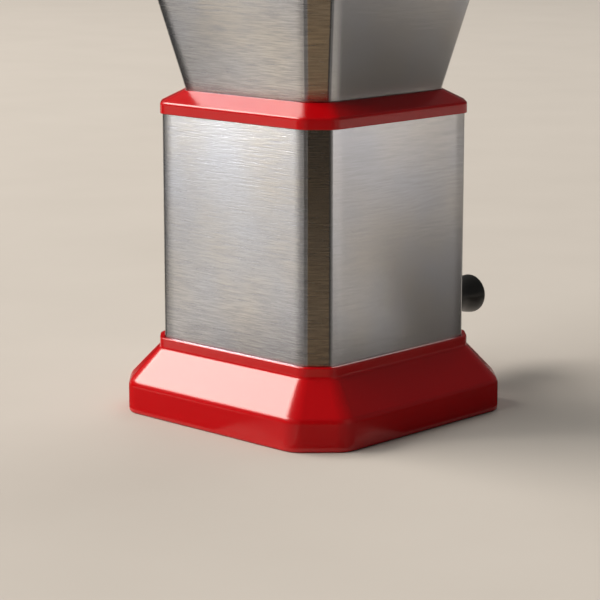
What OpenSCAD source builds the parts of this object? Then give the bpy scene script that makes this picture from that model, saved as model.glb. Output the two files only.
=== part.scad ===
// Hand-cranked dry fruit slicer. A bevelled sheet-steel tower carries a hopper on top and a
// cutter drum inside, turned by a crank on its side. It stands in a flared tray that catches
// the slices. Millimetres. Origin at the centre of the tray's underside, +Z up, crank at +X.

/* [Body sleeve] */
// Width of the sleeve across its flat sides
body_w = 95; // [88:1:104]
// Leg of the sleeve's corner bevels
body_corner = 7.8; // [6:0.1:10]
// Height of sleeve that shows between tray and collar
body_h = 93; // [84:1:115]
// Thickness of the sheet steel
sheet_t = 0.6; // [0.5:0.1:1]
// Outside radius of the sheet's bends
bend_r = 3; // [2:0.5:4]

/* [Tray] */
// How far the skirt stands out beyond the lip
base_flare = 12.5; // [10:0.5:16]
// Leg of the skirt's corner bevels
base_corner = 15.6; // [12:0.1:18]
// Radius that rounds the skirt's corners
base_corner_r = 9; // [5:0.5:12]
// Height of the upright skirt
skirt_h = 12.5; // [8:0.5:18]
// Height of the sloping shoulder
shoulder_h = 14; // [11:0.5:20]
// Height of the upright lip
lip_h = 4.2; // [3:0.1:7]
// Wall of the lip round the sleeve
lip_t = 2; // [1.5:0.1:3]
// Wall of the tray
base_wall = 2.2; // [1.6:0.1:3]
// Floor of the tray
floor_t = 2.4; // [1.6:0.1:4]
// Depth that the sleeve stands in the tray
socket_depth = 8.6; // [5:0.1:11]
// Width of the ledge under the sleeve
ledge_w = 2; // [1.4:0.1:3]

/* [Collar] */
// Wall of the collar round the sleeve
collar_wall = 1.4; // [1.2:0.1:2.4]
// Extra cut on the collar's corner bevels
collar_ease = 0.9; // [0:0.1:1.2]
// Height of the collar's upright edge
collar_rim_h = 4.5; // [3.5:0.1:7]
// Height of the collar's sloping top
collar_slope_h = 4.9; // [4:0.1:8]
// Height that the collar laps over the sleeve
collar_lap = 3.3; // [2:0.1:3.5]
// Thickness of the deck inside the collar
deck_t = 2.5; // [2:0.1:3.5]

/* [Hopper] */
// Width of the hopper where it leaves the collar
neck_w = 80.6; // [74:0.1:86]
// Leg of the corner bevels at the neck
neck_corner = 7.1; // [5:0.1:9]
// Width of the hopper's mouth
mouth_w = 116; // [100:1:130]
// Leg of the corner bevels at the mouth
mouth_corner = 9.2; // [6:0.1:12]
// Height of the hopper above the collar
hopper_h = 77; // [55:1:110]

/* [Rim and lid] */
// How far the rim stands out round the mouth
rim_proud = 2; // [1.4:0.1:4]
// How far the rim stands in from the mouth
rim_in = 3; // [2.4:0.1:5]
// Depth of rim that grips the sheet
rim_grip = 4.4; // [3:0.1:8]
// Rim thickness above the sheet's edge
rim_cap = 1.6; // [1.2:0.1:3]
// Height of the lid's upright edge
lid_rim_h = 4; // [3:0.1:7]
// Height of the lid's sloping top
lid_slope_h = 5; // [3.5:0.1:9]
// Width of the lid's sloping top
lid_slope_w = 10; // [7:0.5:20]
// Wall of the lid
lid_t = 2; // [1.5:0.1:3]
// Depth of the lid's locating skirt
lid_skirt_h = 7; // [4:0.1:12]
// Diameter of the lid's knob
lid_knob_d = 24; // [20:0.5:34]
// Height of the lid's knob
lid_knob_h = 18; // [14:0.5:26]

/* [Cutter] */
// Diameter of the cutter shaft
shaft_d = 8; // [7:0.1:9]
// Shaft axis below the collar's lower edge
shaft_drop = 25.7; // [23:0.1:32]
// Diameter of the drum between the blades
drum_d = 34; // [30:0.5:38]
// Depth of the blade seats in the drum
seat_cut = 4; // [3:0.1:4.6]
// Thickness of a drum blade
blade_t = 1; // [0.8:0.1:1.2]
// Width of a drum blade
blade_w = 14; // [11:0.5:16]
// How far the cutting edges stand out of the drum
blade_proud = 1; // [0.7:0.1:1.4]
// Thickness of the fixed blade
fixed_t = 1.2; // [0.8:0.1:2]
// Gap between the two cutting edges
cut_gap = 0.5; // [0.4:0.1:0.8]
// Thickness of the bearing cheeks
cheek_t = 5; // [4:0.1:6]
// Outside diameter of the bushes
bush_d = 14; // [12:0.5:18]
// Thickness of the bush flanges
flange_t = 2; // [1.5:0.1:3]
// Wall of the feed chute
chute_wall = 1.6; // [1.2:0.1:2.4]
// Thickness of the chute's flange
chute_flange_t = 2; // [1.5:0.1:3]
// Width and height of the bar under the fixed blade
bar_w = 12; // [11:0.5:13]
// Thickness of the guards
guard_t = 2; // [1.5:0.1:3]

/* [Crank] */
// Radius at which the grip turns
crank_r = 65; // [54:1:78]
// Width of the crank arm
arm_w = 16; // [14:0.5:20]
// Thickness of the crank arm
arm_t = 2.5; // [2:0.1:4]
// Diameter of the shaft's flattened end
stub_d = 6; // [5.4:0.1:6.4]
// Diameter of the grip
knob_d = 17; // [15:0.5:22]
// Length of the grip
knob_l = 34.5; // [28:0.5:45]
// Radius on the edges of the grip
knob_round = 1.5; // [0.5:0.1:2]
// Diameter of the spindle inside the grip
spindle_d = 7; // [6:0.1:7.6]

/* [Fasteners] */
// Shank diameter of the screws
screw_d = 3; // [2.5:0.1:3.2]
// Head diameter of the screws
screw_head_d = 5.4; // [4.8:0.1:5.6]
// Head height of the screws
screw_head_h = 1.8; // [1.4:0.1:2]

/* [Hidden] */
$fn = 64;

// Colours
red_abs = "#b3101a";
bright_steel = "#c9c8c4";
black_plastic = "#1d1c1b";
white_nylon = "#e9e6dc";

// Clearances
seat_gap = 0.2;     // pieces that stand in a socket
fit_gap = 0.05;     // round fits, on the radius
lift_gap = 0.3;     // pieces that lift out of each other
side_gap = 0.5;     // pieces that pass each other
play = 0.3;         // end play of turning pieces
edge_break = 0.8;   // bevel on moulded edges
past = 1;           // length by which a cut runs past a face
bend_steps = 4;     // flats in each bend of a bevelled outline
least_r = 0.5;      // smallest corner radius

// Sections: half width across flats, leg of the corner bevel, corner radius
body_half = body_w / 2;
body_section = [body_half, body_corner, bend_r];
lip_section = outset(body_section, seat_gap + lip_t);
skirt_section = [lip_section[0] + base_flare, base_corner, base_corner_r];
well_section = inset(body_section, ledge_w);
core_section = outset(well_section, base_wall);
collar_section = outset(body_section, seat_gap + collar_wall) + [0, collar_ease, 0];
neck_section = [neck_w / 2, neck_corner, bend_r];
mouth_section = [mouth_w / 2, mouth_corner, bend_r];
rim_section = outset(mouth_section, rim_proud);
rim_mouth_section = inset(mouth_section, rim_in);
lid_skirt_section = inset(rim_mouth_section, lift_gap);
lid_panel_section = inset(rim_section, lid_slope_w);

// Levels
lip_z = skirt_h + shoulder_h;
lip_top = lip_z + lip_h;
ledge_z = lip_top - socket_depth;
collar_z = lip_top + body_h;
deck_z = collar_z + collar_lap;
deck_top = deck_z + deck_t;
collar_top = collar_z + collar_rim_h + collar_slope_h;
hopper_top = collar_top + hopper_h;
chute_z = deck_top + sheet_t;
chute_top = chute_z + chute_flange_t;
lid_z = hopper_top + rim_cap;
lid_top = lid_z + lid_rim_h + lid_slope_h;
shaft_z = collar_z - shaft_drop;
knob_z = shaft_z - crank_r;

// Tray hollow, under the shoulder
shoulder_lean = base_flare / shoulder_h;
shoulder_wall = base_wall * sqrt(1 + pow(shoulder_lean, 2));
hollow_z = skirt_h - (shoulder_wall - base_wall) / shoulder_lean;
hollow_top = ledge_z - base_wall;

// Hopper and collar
flare = (mouth_w - neck_w) / 2 / hopper_h;
hopper_wall = sheet_t * sqrt(1 + pow(flare, 2));
collar_land = 0.5;

// Cutter
drum_r = drum_d / 2;
tip_r = drum_r + blade_proud;
seat_r = drum_r - seat_cut;
shaft_r = shaft_d / 2;
bush_r = bush_d / 2;
bush_flange_w = 4;
bush_flange_r = bush_r + bush_flange_w;
screw_r = screw_d / 2;
screw_hole_r = screw_r + fit_gap;
screw_head_r = screw_head_d / 2;
screw_margin = 1.6;
cheek_x = neck_w / 2 - cheek_t - screw_margin - hopper_wall;
cheek_out_x = cheek_x + cheek_t;
cheek_screw_x = cheek_x + cheek_t / 2;
cheek_screw_y = 16;
cheek_screw_grip = 8;
washer_t = 1.6;
drum_l = 2 * (cheek_x - washer_t - play);
blade_l = drum_l - 2 * side_gap;
blade_edge = sqrt(pow(tip_r, 2) - pow(seat_r + blade_t, 2));
blade_screw_back = 8.4;
blade_screw_u = blade_edge - blade_screw_back;
blade_screw_x = 20;
blade_screw_grip = 5;
blade_turn = 20;
pin_r = 1.5;
blade_count = 4;

// Feed chute, guards and fixed blade
chute_x = cheek_x - side_gap;
chute_out_y = tip_r - side_gap;
drum_room = 2;
chute_out_z = shaft_z + tip_r + drum_room;
guard_y = tip_r + drum_room;
guard_top = chute_out_z - lift_gap;
front_guard_drop = 12;
front_guard_z = shaft_z - front_guard_drop;
pocket_d = 1.2;
bar_room = 1.5;
bar_y = guard_y + bar_room;
bar_end_y = bar_y + bar_w;
bar_screw_grip = 8;
bar_screw_pitch = screw_head_d + side_gap;
fixed_screw_pitch = 20;
cheek_half_y = bar_end_y + side_gap;
cheek_foot = 14;
cheek_bottom = shaft_z - bush_r - cheek_foot;
cheek_foot_y = bush_r + bush_flange_w * 2;
cheek_taper_z = shaft_z - bar_w - drum_room;

// Crank
bush_face_x = body_half + flange_t;
spacer_t = 2.2;
arm_x = bush_face_x + play + spacer_t;
ring_w = 3;
spacer_r = shaft_r + ring_w;
stub_r = stub_d / 2;
stub_cut = 0.7;
stub_flat = stub_r - stub_cut;
arm_washer_t = 1;
arm_washer_r = stub_r + ring_w;
arm_nut_w = 10;
arm_nut_h = 5;
dome_r = arm_nut_w / 2 - seat_gap;
stub_end_x = arm_x + arm_t + arm_washer_t + arm_nut_h;
knob_nut_w = 8;
knob_nut_h = 4;
spindle_r = spindle_d / 2;
spindle_end_r = 2.5;
tray_room = 0.8;
arm_low_x = skirt_section[0] + knob_nut_h + tray_room;
joggle_top = shaft_z - arm_w;
joggle_low = knob_z + arm_w;
knob_x = arm_low_x + arm_t + side_gap;
knob_end_x = knob_x + knob_l;
knob_r = knob_d / 2;
cap_t = 2.5;
spindle_head_h = 2.5;
spindle_head_w = 2;
spindle_head_r = spindle_r + spindle_head_w;
cap_r = spindle_head_r + play;
spindle_head_x = knob_end_x - cap_t - play - spindle_head_h;

// Lid knob
lid_knob_neck_r = 7;
lid_knob_round = 3;
lid_screw_grip = 9;

// Bevelled outlines
function outset(s, d) = [s[0] + d, s[1] + d * (2 - sqrt(2)), max(s[2] + d, least_r)];
function inset(s, d) = outset(s, -d);
function face_distance(s, k) = k % 2 == 0 ? s[0] : (2 * s[0] - s[1]) / sqrt(2);
function bend_centre(s, k) =
    let (a = 45 * (k - 1), b = 45 * k)
    let (da = face_distance(s, k + 7) - s[2], db = face_distance(s, k) - s[2])
    [da * sin(b) - db * sin(a), db * cos(a) - da * cos(b)] / sin(45);
function outline(s) = [
    for (k = [0:7])
        for (j = [0:bend_steps])
            let (a = 45 * (k - 1 + j / bend_steps))
            bend_centre(s, k) + s[2] * [cos(a), sin(a)]
];

// Outside section of the hopper at a height
function hopper_at(z) = neck_section + (mouth_section - neck_section) * (z - collar_top) / hopper_h;
function hopper_inside(z, gap = 0) = inset(hopper_at(z), hopper_wall + gap);

// Section of the tray's shoulder at a height
function shoulder_at(z) = skirt_section + (lip_section - skirt_section) * (z - skirt_h) / shoulder_h;

// Straight length of a bevelled outline
module prism(section, z0, z1)
    translate([0, 0, z0])
        linear_extrude(z1 - z0)
            polygon(outline(section));

// Solid through a stack of [section, height] pairs, listed upwards
module loft(stack) {
    n = len(outline(stack[0][0]));
    top = n * (len(stack) - 1);
    points = [for (ring = stack) for (p = outline(ring[0])) [p[0], p[1], ring[1]]];
    sides = [
        for (base = [0 : n : top - n])
            for (i = [0 : n - 1])
                let (a = base + i, b = base + (i + 1) % n)
                each [[a, a + n, b + n], [a, b + n, b]]
    ];
    polyhedron(points, concat([[for (i = [0 : n - 1]) i]], sides, [[for (i = [n - 1 : -1 : 0]) top + i]]));
}

// Round bar along X between two places, on the axis at height z
module bar_x(x0, x1, r, z = shaft_z)
    translate([x0, 0, z])
        rotate([0, 90, 0])
            cylinder(h = x1 - x0, r = r);

// Outline in the YZ plane, drawn out along X to both sides of the middle
module across(length)
    rotate([90, 0, 90])
        linear_extrude(length, center = true)
            children();

// Block between two corners
module block(low, high)
    translate(low)
        cube(high - low);

// Pan-head screw pointing down, the underside of its head at the origin
module screw(grip) {
    slot_w = screw_head_d / 6;
    slot_h = screw_head_h / 2;
    difference() {
        cylinder(h = screw_head_h, r = screw_head_r);
        for (turn = [0, 90])
            rotate(turn)
                translate([-screw_d / 2, -slot_w / 2, screw_head_h - slot_h])
                    cube([screw_d, slot_w, slot_h + past]);
    }
    translate([0, 0, -grip])
        cylinder(h = grip, r = screw_r);
}

// Hexagon nut along X with a round bore, starting at place x
module nut_x(x, z, width, height, bore_r)
    translate([x, 0, z])
        rotate([0, 90, 0])
            difference() {
                cylinder(h = height, r = width / 2 / cos(30), $fn = 6);
                translate([0, 0, -past])
                    cylinder(h = height + 2 * past, r = bore_r);
            }

// Places of the four screws that clamp hopper, chute and collar to the cheeks
module at_hopper_screws()
    for (x = [-cheek_screw_x, cheek_screw_x])
        for (y = [-cheek_screw_y, cheek_screw_y])
            translate([x, y, 0])
                children();

module hopper_screw_holes()
    at_hopper_screws()
        translate([0, 0, deck_z - cheek_screw_grip])
            cylinder(h = chute_top - deck_z + cheek_screw_grip + past, r = screw_hole_r);

// Square opening through deck and hopper floor
module neck_opening()
    block([-cheek_x, -cheek_x, deck_z - past], [cheek_x, cheek_x, chute_top + past]);

// Flared tray: outside, socket for the sleeve, well for the slices and hollow under the shoulder
module base_tray()
    color(red_abs)
        difference() {
            loft([
                [inset(skirt_section, edge_break), 0],
                [skirt_section, edge_break],
                [skirt_section, skirt_h],
                [lip_section, lip_z],
                [lip_section, lip_top - edge_break],
                [inset(lip_section, edge_break), lip_top]
            ]);
            prism(outset(body_section, seat_gap), ledge_z, lip_top + past);
            prism(well_section, floor_t, ledge_z + past);
            difference() {
                loft([
                    [inset(skirt_section, base_wall), -past],
                    [inset(skirt_section, base_wall), hollow_z],
                    [inset(shoulder_at(hollow_top), shoulder_wall), hollow_top]
                ]);
                prism(core_section, -2 * past, hollow_top + past);
            }
        }

// Bent sheet sleeve, with the hole that the crank-side bush goes through
module body_sleeve()
    color(bright_steel)
        difference() {
            prism(body_section, ledge_z, deck_z);
            prism(inset(body_section, sheet_t), ledge_z - past, deck_z + past);
            bar_x(body_half - sheet_t - past, body_half + past, bush_r + fit_gap);
        }

// Collar: laps over the sleeve, and holds the hopper's neck on its deck
module collar()
    color(red_abs)
        difference() {
            loft([
                [collar_section, collar_z],
                [collar_section, collar_z + collar_rim_h],
                [outset(hopper_at(collar_top), seat_gap + collar_land), collar_top]
            ]);
            prism(outset(body_section, seat_gap), collar_z - past, deck_z);
            loft([
                [outset(hopper_at(deck_top), seat_gap), deck_top],
                [outset(hopper_at(collar_top + past), seat_gap), collar_top + past]
            ]);
            neck_opening();
            hopper_screw_holes();
        }

// Bent sheet funnel with an inward floor that lies on the collar's deck
module hopper()
    color(bright_steel)
        difference() {
            loft([[hopper_at(deck_top), deck_top], [hopper_at(hopper_top), hopper_top]]);
            loft([
                [hopper_inside(chute_z), chute_z],
                [hopper_inside(hopper_top + past), hopper_top + past]
            ]);
            neck_opening();
            hopper_screw_holes();
        }

// Moulded edge that grips the hopper's mouth
module hopper_rim() {
    low = hopper_top - rim_grip;
    color(red_abs)
        difference() {
            loft([
                [rim_section, low],
                [rim_section, lid_z - edge_break],
                [inset(rim_section, edge_break), lid_z]
            ]);
            prism(rim_mouth_section, low - past, lid_z + past);
            difference() {
                loft([
                    [outset(hopper_at(low - past), fit_gap), low - past],
                    [outset(hopper_at(hopper_top), fit_gap), hopper_top]
                ]);
                loft([
                    [hopper_inside(low - 2 * past, fit_gap), low - 2 * past],
                    [hopper_inside(hopper_top + past, fit_gap), hopper_top + past]
                ]);
            }
        }
}

// Moulded funnel from the square neck to the slot over the drum
module feed_chute() {
    out_wall = chute_wall + side_gap;
    outside = [
        [-chute_x, chute_z], [-chute_out_y - out_wall, chute_out_z],
        [chute_out_y + out_wall, chute_out_z], [chute_x, chute_z]
    ];
    inside = [
        [-chute_x + out_wall, chute_top + past], [-chute_x + out_wall, chute_z],
        [-chute_out_y, chute_out_z], [-chute_out_y, chute_out_z - past],
        [chute_out_y, chute_out_z - past], [chute_out_y, chute_out_z],
        [chute_x - out_wall, chute_z], [chute_x - out_wall, chute_top + past]
    ];
    color(white_nylon)
        difference() {
            union() {
                prism(hopper_inside(chute_z, seat_gap), chute_z, chute_top);
                across(2 * chute_x)
                    polygon(outside);
            }
            across(2 * (chute_x - chute_wall))
                polygon(inside);
            hopper_screw_holes();
        }
}

module hopper_screws()
    color(bright_steel)
        at_hopper_screws()
            translate([0, 0, chute_top])
                screw(chute_top - deck_z + cheek_screw_grip);

// Outline of a guard in the YZ plane, with room around it
module guard_outline(side, z0, room)
    translate([side > 0 ? guard_y - room : -guard_y - guard_t - room, z0 - room])
        square([guard_t + 2 * room, guard_top - z0 + 2 * room]);

// Places of the screws through the cheeks into the blade bar
module at_bar_screws(side)
    for (y = [-bar_screw_pitch, bar_screw_pitch] / 2)
        translate([side * cheek_out_x, (bar_y + bar_end_y) / 2 + y, shaft_z - bar_w / 2])
            rotate([0, side * 90, 0])
                children();

// Bearing plate under the collar's deck: bush bore, guard pockets and screw holes
module cheek(side)
    color(white_nylon)
        difference() {
            translate([side * cheek_screw_x, 0, 0])
                across(cheek_t)
                    polygon([
                        [-cheek_half_y, deck_z], [cheek_half_y, deck_z], [cheek_half_y, cheek_taper_z],
                        [cheek_foot_y, cheek_bottom], [-cheek_foot_y, cheek_bottom],
                        [-cheek_half_y, cheek_taper_z]
                    ]);
            bar_x(-cheek_out_x - past, cheek_out_x + past, bush_r + fit_gap);
            across(2 * (cheek_x + pocket_d)) {
                guard_outline(-1, front_guard_z, fit_gap);
                guard_outline(1, shaft_z + fixed_t, fit_gap);
            }
            hopper_screw_holes();
            at_bar_screws(side)
                translate([0, 0, -cheek_t - past])
                    cylinder(h = cheek_t + 2 * past, r = screw_hole_r);
        }

module cheek_left()
    cheek(-1);

module cheek_right()
    cheek(1);

// Flanged bush inside the tower
module bush_left()
    color(black_plastic)
        difference() {
            union() {
                bar_x(-cheek_out_x, -cheek_x, bush_r);
                bar_x(-cheek_out_x - flange_t, -cheek_out_x, bush_flange_r);
            }
            bar_x(-cheek_out_x - flange_t - past, -cheek_x + past, shaft_r + fit_gap);
        }

// Long flanged bush through the sleeve into the cheek, which locks the two together
module bush_right()
    color(black_plastic)
        difference() {
            union() {
                bar_x(cheek_x, body_half, bush_r);
                bar_x(body_half, bush_face_x, bush_flange_r);
            }
            bar_x(cheek_x - past, bush_face_x + past, shaft_r + fit_gap);
        }

module guard(side, z0)
    color(white_nylon)
        across(2 * (cheek_x + pocket_d - fit_gap))
            guard_outline(side, z0, 0);

module front_guard()
    guard(-1, front_guard_z);

module back_guard()
    guard(1, shaft_z + fixed_t);

// Places of the screws that hold the fixed blade down
module at_fixed_screws()
    for (i = [-1 : 1])
        translate([i * fixed_screw_pitch, (bar_y + bar_end_y) / 2 + side_gap, 0])
            children();

module fixed_screw_holes()
    at_fixed_screws()
        translate([0, 0, shaft_z - bar_screw_grip])
            cylinder(h = bar_screw_grip + fixed_t + past, r = screw_hole_r);

// Square bar between the cheeks that carries the fixed blade
module blade_bar()
    color(white_nylon)
        difference() {
            block([-cheek_x, bar_y, shaft_z - bar_w], [cheek_x, bar_end_y, shaft_z]);
            fixed_screw_holes();
            for (side = [-1, 1])
                at_bar_screws(side)
                    translate([0, 0, -cheek_t - bar_screw_grip])
                        cylinder(h = cheek_t + bar_screw_grip + past, r = screw_hole_r);
        }

// Counter knife, ground to an edge along its top
module fixed_blade()
    color(bright_steel)
        difference() {
            across(2 * (cheek_x - side_gap))
                polygon([
                    [tip_r + cut_gap, shaft_z + fixed_t], [bar_end_y, shaft_z + fixed_t],
                    [bar_end_y, shaft_z], [tip_r + cut_gap + fixed_t, shaft_z]
                ]);
            fixed_screw_holes();
        }

module fixed_blade_screws()
    color(bright_steel)
        at_fixed_screws()
            translate([0, 0, shaft_z + fixed_t])
                screw(bar_screw_grip);

module bar_screws()
    color(bright_steel)
        for (side = [-1, 1])
            at_bar_screws(side)
                screw(cheek_t + bar_screw_grip);

// Turns a blade station to its place round the shaft, with its seat facing up
module at_blade(i)
    translate([0, 0, shaft_z])
        rotate([-blade_turn - i * 360 / blade_count, 0, 0])
            children();

module at_blade_screws()
    for (x = [-blade_screw_x, blade_screw_x])
        translate([x, blade_screw_u, 0])
            children();

// Stepped shaft: journal through both bushes and a flattened stub for the crank arm
module cutter_shaft()
    color(bright_steel)
        difference() {
            union() {
                bar_x(-cheek_out_x - flange_t + play, arm_x, shaft_r);
                intersection() {
                    bar_x(arm_x, stub_end_x, stub_r);
                    block(
                        [arm_x - past, -stub_flat, shaft_z - shaft_r],
                        [stub_end_x + past, stub_flat, shaft_z + shaft_r]
                    );
                }
            }
            at_blade(0)
                translate([0, 0, -drum_r])
                    cylinder(h = drum_d, r = pin_r + fit_gap);
        }

// Drum with a flat seat for each blade
module cutter_drum()
    color(white_nylon)
        difference() {
            bar_x(-drum_l / 2, drum_l / 2, drum_r);
            bar_x(-drum_l / 2 - past, drum_l / 2 + past, shaft_r + fit_gap);
            for (i = [0 : blade_count - 1])
                at_blade(i) {
                    block([-drum_l, -drum_d, seat_r], [drum_l, drum_d, drum_d]);
                    at_blade_screws()
                        translate([0, 0, seat_r - blade_screw_grip])
                            cylinder(h = blade_screw_grip + past, r = screw_hole_r);
                }
            at_blade(0)
                translate([0, 0, -drum_r])
                    cylinder(h = drum_d, r = pin_r + fit_gap);
        }

// Cross pin that drives the drum, trapped under two blades
module drum_pin()
    color(bright_steel)
        at_blade(0)
            translate([0, 0, fit_gap - seat_r])
                cylinder(h = 2 * (seat_r - fit_gap), r = pin_r);

// Flat blade screwed to its seat, ground to an edge along its leading side
module blade(i)
    color(bright_steel)
        at_blade(i)
            difference() {
                across(blade_l)
                    polygon([
                        [blade_edge - blade_w, seat_r], [blade_edge - blade_t, seat_r],
                        [blade_edge, seat_r + blade_t], [blade_edge - blade_w, seat_r + blade_t]
                    ]);
                at_blade_screws()
                    translate([0, 0, seat_r - past])
                        cylinder(h = blade_t + 2 * past, r = screw_hole_r);
            }

module blade_screws()
    color(bright_steel)
        for (i = [0 : blade_count - 1])
            at_blade(i)
                at_blade_screws()
                    translate([0, 0, seat_r + blade_t])
                        screw(blade_t + blade_screw_grip - play);

// Nylon washers between the drum's ends and the bushes
module thrust_washers()
    color(white_nylon)
        for (side = [0, 1])
            mirror([side, 0, 0])
                difference() {
                    bar_x(drum_l / 2, drum_l / 2 + washer_t, bush_r);
                    bar_x(drum_l / 2 - past, drum_l / 2 + washer_t + past, shaft_r + fit_gap);
                }

// Washer between the crank-side bush and the arm
module crank_spacer()
    color(white_nylon)
        difference() {
            bar_x(bush_face_x + play, arm_x, spacer_r);
            bar_x(bush_face_x, arm_x + past, shaft_r + fit_gap);
        }

// Strip-steel arm, bent outwards so that the hand clears the tray
module crank_arm() {
    miter = arm_t * tan(atan((arm_low_x - arm_x) / (joggle_top - joggle_low)) / 2);
    high = shaft_z + arm_w;
    low = knob_z - arm_w;
    color(bright_steel)
        difference() {
            intersection() {
                rotate([90, 0, 0])
                    linear_extrude(arm_w, center = true)
                        polygon([
                            [arm_x, high], [arm_x, joggle_top], [arm_low_x, joggle_low], [arm_low_x, low],
                            [arm_low_x + arm_t, low], [arm_low_x + arm_t, joggle_low + miter],
                            [arm_x + arm_t, joggle_top + miter], [arm_x + arm_t, high]
                        ]);
                union() {
                    for (z = [knob_z, shaft_z])
                        bar_x(arm_x - past, arm_low_x + arm_t + past, arm_w / 2, z);
                    block(
                        [arm_x - past, -arm_w / 2, knob_z],
                        [arm_low_x + arm_t + past, arm_w / 2, shaft_z]
                    );
                }
            }
            intersection() {
                bar_x(arm_x - past, arm_x + arm_t + past, stub_r + fit_gap);
                block(
                    [arm_x - 2 * past, -stub_flat - fit_gap, shaft_z - shaft_d],
                    [arm_x + arm_t + 2 * past, stub_flat + fit_gap, shaft_z + shaft_d]
                );
            }
            bar_x(arm_low_x - past, arm_low_x + arm_t + past, spindle_end_r + fit_gap, knob_z);
        }
}

module arm_washer()
    color(bright_steel)
        difference() {
            bar_x(arm_x + arm_t, arm_x + arm_t + arm_washer_t, arm_washer_r);
            bar_x(arm_x + arm_t - past, arm_x + arm_t + arm_washer_t + past, stub_r + fit_gap);
        }

// Cap nut: hexagon with a domed end over the stub
module arm_nut() {
    start = arm_x + arm_t + arm_washer_t;
    color(bright_steel)
        difference() {
            union() {
                nut_x(start, shaft_z, arm_nut_w, arm_nut_h, stub_r + fit_gap);
                intersection() {
                    translate([start + arm_nut_h, 0, shaft_z])
                        sphere(dome_r);
                    bar_x(start + arm_nut_h, start + arm_nut_h + dome_r, dome_r);
                }
            }
            bar_x(start - past, stub_end_x + fit_gap, stub_r + fit_gap);
        }
}

// Shoulder screw that the grip turns on
module knob_spindle()
    color(bright_steel) {
        bar_x(arm_low_x - knob_nut_h, arm_low_x + arm_t, spindle_end_r, knob_z);
        bar_x(arm_low_x + arm_t, spindle_head_x, spindle_r, knob_z);
        bar_x(spindle_head_x, spindle_head_x + spindle_head_h, spindle_head_r, knob_z);
    }

module knob_nut()
    color(bright_steel)
        nut_x(arm_low_x - knob_nut_h, knob_z, knob_nut_w, knob_nut_h, spindle_end_r + fit_gap);

// Half section of a round grip with rounded edges, standing on its axis
module grip_section(radius, length, round_r) {
    square([radius - round_r, length]);
    translate([0, round_r])
        square([radius, length - 2 * round_r]);
    for (y = [round_r, length - round_r])
        translate([radius - round_r, y])
            circle(round_r);
}

// Grip with a bore for the spindle and a pocket for its head
module knob_grip()
    color(black_plastic)
        difference() {
            translate([knob_x, 0, knob_z])
                rotate([0, 90, 0])
                    rotate_extrude()
                        grip_section(knob_r, knob_l, knob_round);
            bar_x(knob_x - past, knob_end_x, spindle_r + fit_gap, knob_z);
            bar_x(spindle_head_x - play, knob_end_x + past, cap_r, knob_z);
        }

// Disc that closes the grip's pocket
module knob_cap()
    color(black_plastic)
        bar_x(knob_end_x - cap_t, knob_end_x, cap_r - fit_gap, knob_z);

// Lift-off lid: upright edge, sloping top and a skirt that locates in the rim
module lid()
    color(red_abs)
        difference() {
            union() {
                loft([
                    [rim_section, lid_z],
                    [rim_section, lid_z + lid_rim_h],
                    [lid_panel_section, lid_top]
                ]);
                prism(lid_skirt_section, lid_z - lid_skirt_h, lid_z);
            }
            loft([
                [inset(lid_skirt_section, lid_t), lid_z - lid_skirt_h - past],
                [inset(lid_skirt_section, lid_t), lid_z + lid_rim_h - lid_t],
                [inset(lid_panel_section, lid_t), lid_top - lid_t]
            ]);
            translate([0, 0, lid_top - lid_t - past])
                cylinder(h = lid_t + 2 * past, r = screw_hole_r);
        }

// Turned knob on the lid: a neck under a rounded head
module lid_knob() {
    head_h = lid_knob_h / 2;
    color(black_plastic)
        translate([0, 0, lid_top])
            difference() {
                union() {
                    cylinder(h = lid_knob_h - head_h, r = lid_knob_neck_r);
                    translate([0, 0, lid_knob_h - head_h])
                        rotate_extrude()
                            grip_section(lid_knob_d / 2, head_h, lid_knob_round);
                }
                translate([0, 0, -past])
                    cylinder(h = lid_screw_grip + past, r = screw_hole_r);
            }
}

module lid_screw()
    color(bright_steel)
        translate([0, 0, lid_top - lid_t])
            mirror([0, 0, 1])
                screw(lid_t + lid_screw_grip - play);

base_tray();
body_sleeve();
collar();
hopper();
hopper_rim();
feed_chute();
hopper_screws();
cheek_left();
cheek_right();
bush_left();
bush_right();
front_guard();
back_guard();
blade_bar();
fixed_blade();
fixed_blade_screws();
bar_screws();
cutter_shaft();
cutter_drum();
drum_pin();
blade(0);  // blade_1
blade(1);  // blade_2
blade(2);  // blade_3
blade(3);  // blade_4
blade_screws();
thrust_washers();
crank_spacer();
crank_arm();
arm_washer();
arm_nut();
knob_spindle();
knob_nut();
knob_grip();
knob_cap();
lid();
lid_knob();
lid_screw();
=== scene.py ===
import math
import bmesh
import bpy
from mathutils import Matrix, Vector


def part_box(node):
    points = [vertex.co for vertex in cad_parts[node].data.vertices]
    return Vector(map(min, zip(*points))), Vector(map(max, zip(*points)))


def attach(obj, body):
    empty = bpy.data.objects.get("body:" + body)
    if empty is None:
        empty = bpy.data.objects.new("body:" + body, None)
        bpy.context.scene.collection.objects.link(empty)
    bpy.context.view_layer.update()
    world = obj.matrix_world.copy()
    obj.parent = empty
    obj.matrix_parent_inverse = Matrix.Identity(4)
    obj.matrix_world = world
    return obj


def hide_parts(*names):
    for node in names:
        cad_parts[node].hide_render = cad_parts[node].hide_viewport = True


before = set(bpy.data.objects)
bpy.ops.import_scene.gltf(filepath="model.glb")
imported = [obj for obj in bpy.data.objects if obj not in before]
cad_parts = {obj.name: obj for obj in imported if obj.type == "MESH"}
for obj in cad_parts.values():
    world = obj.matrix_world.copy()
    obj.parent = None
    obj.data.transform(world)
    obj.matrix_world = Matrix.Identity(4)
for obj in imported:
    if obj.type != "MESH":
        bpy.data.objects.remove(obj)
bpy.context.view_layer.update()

mm = 0.001
scene = bpy.context.scene
scene.view_settings.view_transform = "Standard"

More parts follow.
